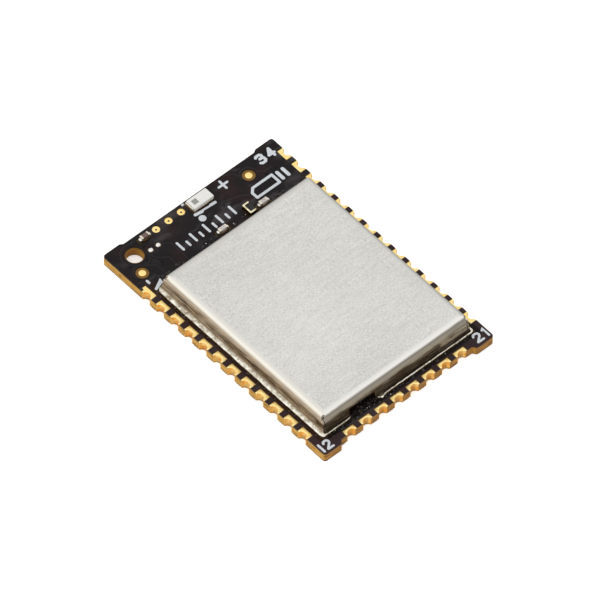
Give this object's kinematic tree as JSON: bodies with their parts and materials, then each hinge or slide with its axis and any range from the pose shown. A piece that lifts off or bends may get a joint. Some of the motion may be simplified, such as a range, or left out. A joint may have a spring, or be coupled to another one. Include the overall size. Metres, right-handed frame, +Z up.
{
  "type": "shielded radio module",
  "caption": "Surface-mount radio module: black circuit board with gold castellated edge pads, a folded metal shield can and a ceramic chip antenna.",
  "frame": {"origin": "centre of the underside of the board, at the lower coat of solder mask", "axes": "+Y along the board towards the antenna end, +X across it to the right with the antenna end away, +Z up through the shield can"},
  "size_m": [0.013, 0.019, 0.002],
  "materials": {
    "laminate": "bare glass-fibre laminate, ochre at the cut edges",
    "solder_mask": "black lacquer coat with a soft gloss",
    "gold_plate": "immersion gold over copper, satin",
    "shield_steel": "tin-plated sheet with a fine grain across the top",
    "solder": "bright reflowed solder",
    "white_ceramic": "fired ceramic, off-white",
    "brown_ceramic": "fired ceramic, brown",
    "grey_ceramic": "fired ceramic, pinkish grey",
    "cap_metal": "tinned end caps",
    "chip_black": "moulded black package",
    "core_grey": "pressed ferrite",
    "lid_metal": "plated lid"
  },
  "bodies": {
    "root": {"board_laminate": "laminate", "solder_mask_top": "solder_mask", "solder_mask_bottom": "solder_mask", "pad_01": "gold_plate", "pad_02": "gold_plate", "pad_03": "gold_plate", "pad_04": "gold_plate", "pad_05": "gold_plate", "pad_06": "gold_plate", "pad_07": "gold_plate", "pad_08": "gold_plate", "pad_09": "gold_plate", "pad_10": "gold_plate", "pad_11": "gold_plate", "pad_12": "gold_plate", "pad_13": "gold_plate", "pad_14": "gold_plate", "pad_15": "gold_plate", "pad_16": "gold_plate", "pad_17": "gold_plate", "pad_18": "gold_plate", "pad_19": "gold_plate", "pad_20": "gold_plate", "pad_21": "gold_plate", "pad_22": "gold_plate", "pad_23": "gold_plate", "pad_24": "gold_plate", "pad_25": "gold_plate", "pad_26": "gold_plate", "pad_27": "gold_plate", "pad_28": "gold_plate", "pad_29": "gold_plate", "pad_30": "gold_plate", "pad_31": "gold_plate", "pad_32": "gold_plate", "pad_33": "gold_plate", "pad_34": "gold_plate", "fiducial_dots": "gold_plate", "test_pads": "gold_plate", "shield_land": "gold_plate", "component_lands": "gold_plate", "shield_can": "shield_steel", "shield_solder": "solder", "chip_antenna": "white_ceramic", "antenna_terminals": "cap_metal", "tuning_capacitor": "brown_ceramic", "left_edge_capacitor": "grey_ceramic", "right_edge_capacitor": "grey_ceramic", "chip_end_caps": "cap_metal", "chip_solder": "solder", "matching_inductor": "chip_black", "inductor_bracket": "gold_plate", "radio_chip": "chip_black", "front_end_chip": "chip_black", "main_crystal": "white_ceramic", "clock_crystal": "white_ceramic", "crystal_lids": "lid_metal", "power_inductor": "core_grey", "bypass_capacitors": "brown_ceramic"}
  },
  "joints": []
}
